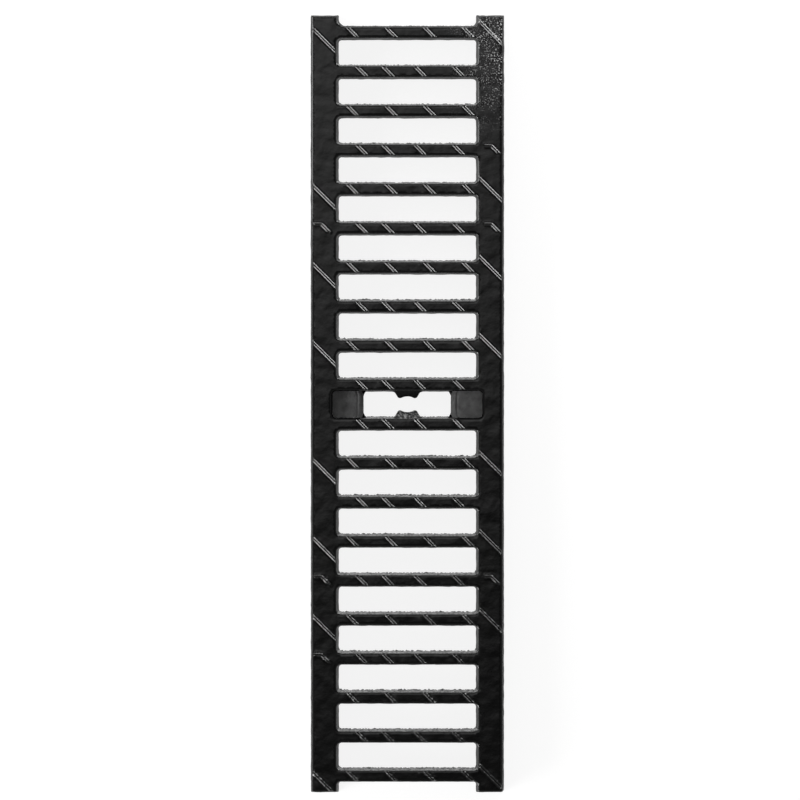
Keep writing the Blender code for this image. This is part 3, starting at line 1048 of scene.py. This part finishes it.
@dataclass
class DrainGrate:
    """The whole grate: one casting with its paint."""

    sizes: CastingSizes = field(default_factory=CastingSizes)
    crease: float = math.radians(50.0)

    def finishes(self) -> dict[Zone, BitumenPaint]:
        """The paint as it lies on each kind of surface, in the order of the zones."""
        # A satin black with soft lumps, which keeps the slots' ends dark.
        wall = BitumenPaint("bitumen_paint_on_slot_wall", specular=0.14, gloss=(0.45, 0.6),
                            peel_mm=1.6, peel_depth_mm=0.12, grain_depth_mm=0.06)
        return {
            # Wet, mirror-like black: the ribs and edges read as thin bright lines in it. Its pebbles
            # carry a painted highlight.
            Zone.TREAD: BitumenPaint("bitumen_paint_on_tread", pebbled=True),
            Zone.WALL: wall,
            # Salt-and-pepper grains with painted glints: a lighter, glossier copy of the wall paint on
            # the slot walls that face +Y, the lit side, makes the speckled fringe along each bar.
            Zone.GRAINY_WALL_PAINTED_GLINTS: BitumenPaint(
                "bitumen_paint_on_sandy_wall_with_painted_glints", gloss=(0.22, 0.36), peel_mm=1.6, peel_depth_mm=0.45,
                grain_mm=0.8, grain_depth_mm=0.25, run=1.6, specular=0.38, speck=0.9, speck_mm=2.0,
                glint_colour="#3a3a3a"),
            # Flat black without a sheen, painted shade: the pocket's walls over each shelf and the
            # foot of each shelf's nose show dark, as in shadow, so the pocket looks deep.
            Zone.PAINTED_SHADE_WALL: replace(wall, name="bitumen_paint_with_painted_shade_in_lock_pocket", specular=0.0,
                                   gloss=(0.6, 0.8)),
            # Cloudy dark grey: paint so thin that the iron shows through it.
            Zone.SHELF: BitumenPaint(
                "thin_bitumen_paint_on_shelf", colour="#424242", dusty="#868686", specular=0.08,
                gloss=(0.45, 0.55), peel_mm=3.0, cloud_mm=5.0),
            # An even satin black, unseen from above.
            Zone.UNDERSIDE: BitumenPaint(
                "bitumen_paint_on_underside", gloss=(0.35, 0.5), peel_mm=2.0, peel_depth_mm=0.05,
                grain_depth_mm=0.03),
            # Speckled grey on black, where grains stand out, and painted light: the nub on the -Y
            # side, whose top faces +Y, is painted lighter than the other nub, as the lit one.
            Zone.SANDY_NUB_PAINTED_LIGHT: BitumenPaint(
                "sandy_nub_paint_with_painted_light", colour="#181818", dusty="#484848", specular=0.3,
                gloss=(0.3, 0.45), peel_mm=1.3, peel_depth_mm=0.2, grain_depth_mm=0.1, speck=0.9,
                speck_mm=1.8, glint_colour="#808080"),
            # Plain black with a faint sheen, painted shade: the outer walls keep almost none of the
            # wall paint's sheen, so they stay darker than the slot walls, a crisp dark edge against
            # the floor.
            Zone.OUTER_WALL_PAINTED_SHADE: replace(wall, name="bitumen_paint_on_outer_wall_painted_shade", specular=0.03,
                                     gloss=(0.4, 0.55)),
        }

    def as_object(self, mesh: bpy.types.Mesh) -> bpy.types.Object:
        """Puts a mesh into the scene, with its faces out and its straight edges in one piece."""
        bm = bmesh.new()
        bm.from_mesh(mesh)
        split = [corner for corner in bm.verts if len(corner.link_edges) == 2]
        if split:
            bmesh.ops.dissolve_verts(bm, verts=split)
            bmesh.ops.triangulate(bm, faces=[face for face in bm.faces if len(face.verts) > 4])
        bmesh.ops.recalc_face_normals(bm, faces=bm.faces[:])
        open_edges = sum(1 for edge in bm.edges if len(edge.link_faces) != 2)
        bm.to_mesh(mesh)
        bm.free()
        item = bpy.data.objects.new(mesh.name, mesh)
        bpy.context.scene.collection.objects.link(item)
        LOG.info("%s: %d faces, %d open edges", mesh.name, len(mesh.polygons), open_edges)
        return item

    def merge(self, body: bpy.types.Object, tool: bpy.types.Object) -> bpy.types.Mesh:
        """Merges two closed solids into one mesh."""
        union = body.modifiers.new("lock_pieces", "BOOLEAN")
        union.operation = "UNION"
        union.solver = "EXACT"
        union.object = tool
        evaluated = body.evaluated_get(bpy.context.evaluated_depsgraph_get())
        merged = bpy.data.meshes.new_from_object(evaluated)
        for mesh in (body.data, tool.data):
            bpy.data.meshes.remove(mesh)
        return merged

    def build(self) -> bpy.types.Object:
        """Builds the casting and dresses it."""
        body = self.as_object(CastBody(self.sizes, TreadRibs(self.sizes)).build())
        lock = self.as_object(LockPieces(self.sizes).build())
        paints = [finish.make() for finish in self.finishes().values()]
        for item in (body, lock):
            for paint in paints:
                item.data.materials.append(paint)
        merged = self.merge(body, lock)
        merged.name = "grate_casting"
        casting = self.as_object(merged)
        merged.shade_smooth()
        merged.set_sharp_from_angle(angle=self.crease)
        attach(casting, "root")
        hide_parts(NODE)
        return casting


@dataclass(frozen=True)
class SoftBox:
    """A lamp that points at the middle of the grate. Sizes are in metres, 1 is white."""

    name: str
    place: Place
    size: Point
    radiance: float

    def build(self) -> None:
        """Adds the lamp."""
        lamp = bpy.data.lights.new(self.name, "AREA")
        lamp.shape = "RECTANGLE"
        lamp.size, lamp.size_y = self.size
        lamp.energy = self.radiance * math.pi * self.size[0] * self.size[1]
        item = bpy.data.objects.new(self.name, lamp)
        item.location = self.place
        item.rotation_euler = Vector(self.place).to_track_quat("Z", "Y").to_euler()
        item.visible_camera = False
        bpy.context.scene.collection.objects.link(item)


@dataclass
class Studio:
    """A pale floor, a soft room with a dark ceiling and a few soft boxes, and the camera.

    Lengths are in metres here. The room's levels go with the height of the direction,
    from the horizon at 0 to straight overhead at 1.
    """

    boxes: tuple[SoftBox, ...] = (
        SoftBox("far_right_box", (0.61, 0.73, 0.17), (0.33, 0.32), 24.0),
        SoftBox("right_box", (0.772, 0.589, 0.17), (0.12, 0.32), 8.0),
        SoftBox("far_box", (0.0, 1.0, 0.17), (0.7, 0.32), 6.0),
        SoftBox("far_left_box", (-0.62, 0.31, 0.17), (0.42, 0.32), 12.0),
        SoftBox("near_left_box", (-0.64, -0.517, 0.17), (0.34, 0.32), 24.0),
        SoftBox("near_box", (-0.489, -0.691, 0.17), (0.12, 0.32), 8.0))
    floor_side: float = 12.0
    floor_height: float = -0.0003
    floor_grey: float = 0.2
    floor_white: float = 0.87
    room_levels: tuple[Span, ...] = (
        (0.03, 0.85), (0.985, 0.02), (0.09, 1.0), (0.25, 0.9), (0.34, 0.35), (0.62, 0.16),
        (0.95, 0.16))
    room_strength: float = 1.2
    glow_way: Place = (-0.06, 0.12, 1.0)
    glow_reach: float = 0.22
    glow: float = 1.1
    aim: Point = (-0.00474, 0.00262)
    camera_distance: float = 4.7825
    camera_lean: float = math.radians(1.0)
    lens: float = 336.0
    clip_end: float = 100.0

    def build(self) -> None:
        """Builds the studio round the grate."""
        self.add_floor()
        self.add_world()
        for box in self.boxes:
            box.build()
        self.add_camera()

    def add_floor(self) -> None:
        """Adds the floor: it shows white, and keeps the shadow of the grate."""
        bpy.ops.mesh.primitive_plane_add(size=self.floor_side,
                                         location=(0.0, 0.0, self.floor_height))
        floor = bpy.context.object
        floor.name = "studio_floor"
        material = bpy.data.materials.new("white_studio_floor")
        material.use_nodes = True
        tree = material.node_tree
        tree.nodes.clear()
        grey = self.floor_grey
        paint = add_node(tree, "ShaderNodeBsdfDiffuse", {"Color": (grey, grey, grey, 1.0)})
        glow = add_node(tree, "ShaderNodeEmission",
                        {"Color": (1.0, 1.0, 1.0, 1.0), "Strength": self.floor_white})
        path = add_node(tree, "ShaderNodeLightPath").outputs
        seen = reckon(tree, "MAXIMUM", path["Is Camera Ray"], path["Is Glossy Ray"])
        seen = reckon(tree, "MAXIMUM", seen, path["Is Transmission Ray"])
        dark = add_node(tree, "ShaderNodeEmission", {"Strength": 0.0})
        lit = add_node(tree, "ShaderNodeMixShader",
                       {0: seen, 1: dark.outputs[0], 2: glow.outputs[0]})
        both = add_node(tree, "ShaderNodeAddShader", {0: paint.outputs[0], 1: lit.outputs[0]})
        add_node(tree, "ShaderNodeOutputMaterial", {"Surface": both.outputs[0]})
        floor.data.materials.append(material)

    def add_world(self) -> None:
        """Adds a room that is bright at the horizon and dim overhead, and shows white."""
        world = bpy.data.worlds.new("soft_room")
        bpy.context.scene.world = world
        world.use_nodes = True
        tree = world.node_tree
        tree.nodes.clear()
        way = add_node(tree, "ShaderNodeTexCoord").outputs["Generated"]
        up = add_node(tree, "ShaderNodeSeparateXYZ", {"Vector": way}).outputs["Z"]
        ramp = add_node(tree, "ShaderNodeValToRGB", {"Fac": up})
        stops = ramp.color_ramp.elements
        for number, (position, level) in enumerate(self.room_levels):
            stop = stops[number] if number < 2 else stops.new(position)
            stop.position, stop.color = position, (level, level, level, 1.0)
        toward = Vector(self.glow_way).normalized()
        settings = {"operation": "DISTANCE", 0: way, 1: toward}
        away = add_node(tree, "ShaderNodeVectorMath", settings).outputs["Value"]
        glow = spread(tree, away, (0.0, self.glow_reach), (self.glow, 0.0), smooth=True)
        walls = reckon(tree, "MULTIPLY", ramp.outputs["Color"], self.room_strength)
        settings = {"Color": (1.0, 1.0, 1.0, 1.0), "Strength": reckon(tree, "ADD", walls, glow)}
        room = add_node(tree, "ShaderNodeBackground", settings)
        add_node(tree, "ShaderNodeOutputWorld", {"Surface": room.outputs[0]})

    def add_camera(self) -> None:
        """Adds the camera: straight above, far away, with a long lens."""
        data = bpy.data.cameras.new("camera")
        data.lens = self.lens
        data.clip_end = self.clip_end
        camera = bpy.data.objects.new("camera", data)
        x, y = self.aim
        back = self.camera_distance * math.sin(self.camera_lean)
        up = self.camera_distance * math.cos(self.camera_lean)
        camera.location = (x, y + back, up)
        camera.rotation_euler = (-self.camera_lean, 0.0, 0.0)
        bpy.context.scene.collection.objects.link(camera)
        bpy.context.scene.camera = camera


def main() -> None:
    """Builds the grate and its studio."""
    logging.basicConfig(level=logging.INFO, format="%(name)s: %(message)s")
    noise.seed_set(SEED)
    bpy.context.scene.view_settings.view_transform = "Standard"
    DrainGrate().build()
    Studio().build()


if __name__ == "__main__":
    main()
